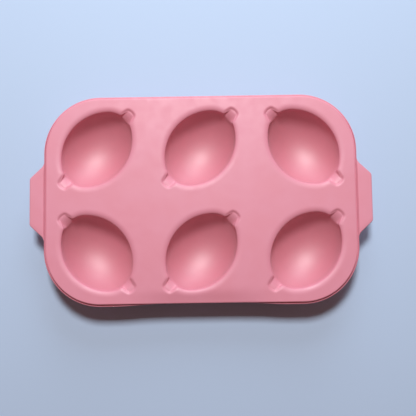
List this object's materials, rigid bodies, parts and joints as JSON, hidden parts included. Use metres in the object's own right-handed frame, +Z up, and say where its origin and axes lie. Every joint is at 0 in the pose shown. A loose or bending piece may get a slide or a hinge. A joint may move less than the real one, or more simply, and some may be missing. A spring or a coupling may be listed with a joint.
{
  "type": "silicone soap mould",
  "caption": "Flat pink silicone tray mould with lemon-shaped cavities, a stepped rim and a grip tab at each short side.",
  "frame": {"origin": "on the table under the middle of the tray, at the level of the flats under the cups", "axes": "+X along the tray's length towards the right grip tab, +Y towards the back long side, +Z up out of the cavities"},
  "size_m": [0.2908, 0.178, 0.0293],
  "materials": {
    "silicone": "matte moulded silicone, pink all through"
  },
  "bodies": {
    "tray": {"deck": "silicone", "rim_ledge": "silicone", "rim_skirt": "silicone", "back_left_cup_wall": "silicone", "back_middle_cup_wall": "silicone", "back_right_cup_wall": "silicone", "front_left_cup_wall": "silicone", "front_middle_cup_wall": "silicone", "front_right_cup_wall": "silicone"},
    "left_tab": {"left_grip_tab": "silicone"},
    "right_tab": {"right_grip_tab": "silicone"},
    "back_left_floor": {"back_left_cup_floor": "silicone"},
    "back_middle_floor": {"back_middle_cup_floor": "silicone"},
    "back_right_floor": {"back_right_cup_floor": "silicone"},
    "front_left_floor": {"front_left_cup_floor": "silicone"},
    "front_middle_floor": {"front_middle_cup_floor": "silicone"},
    "front_right_floor": {"front_right_cup_floor": "silicone"}
  },
  "joints": [
    {"name": "left_tab_bend", "type": "hinge", "parent": "tray", "child": "left_tab", "pos_m": [-0.1345, 0, 0.0255], "axis": [0, 1, 0], "range_deg": [-60, 60], "stiffness_Nm_per_rad": 0.05},
    {"name": "right_tab_bend", "type": "hinge", "parent": "tray", "child": "right_tab", "pos_m": [0.1345, 0, 0.0255], "axis": [0, -1, 0], "range_deg": [-60, 60], "stiffness_Nm_per_rad": 0.05},
    {"name": "back_left_push_out", "type": "slide", "parent": "tray", "child": "back_left_floor", "axis": [0, 0, 1], "range_m": [0, 0.012], "stiffness_N_per_m": 1000, "springref_m": -0.002},
    {"name": "back_middle_push_out", "type": "slide", "parent": "tray", "child": "back_middle_floor", "axis": [0, 0, 1], "range_m": [0, 0.012], "stiffness_N_per_m": 1000, "springref_m": -0.002},
    {"name": "back_right_push_out", "type": "slide", "parent": "tray", "child": "back_right_floor", "axis": [0, 0, 1], "range_m": [0, 0.012], "stiffness_N_per_m": 1000, "springref_m": -0.002},
    {"name": "front_left_push_out", "type": "slide", "parent": "tray", "child": "front_left_floor", "axis": [0, 0, 1], "range_m": [0, 0.012], "stiffness_N_per_m": 1000, "springref_m": -0.002},
    {"name": "front_middle_push_out", "type": "slide", "parent": "tray", "child": "front_middle_floor", "axis": [0, 0, 1], "range_m": [0, 0.012], "stiffness_N_per_m": 1000, "springref_m": -0.002},
    {"name": "front_right_push_out", "type": "slide", "parent": "tray", "child": "front_right_floor", "axis": [0, 0, 1], "range_m": [0, 0.012], "stiffness_N_per_m": 1000, "springref_m": -0.002}
  ]
}
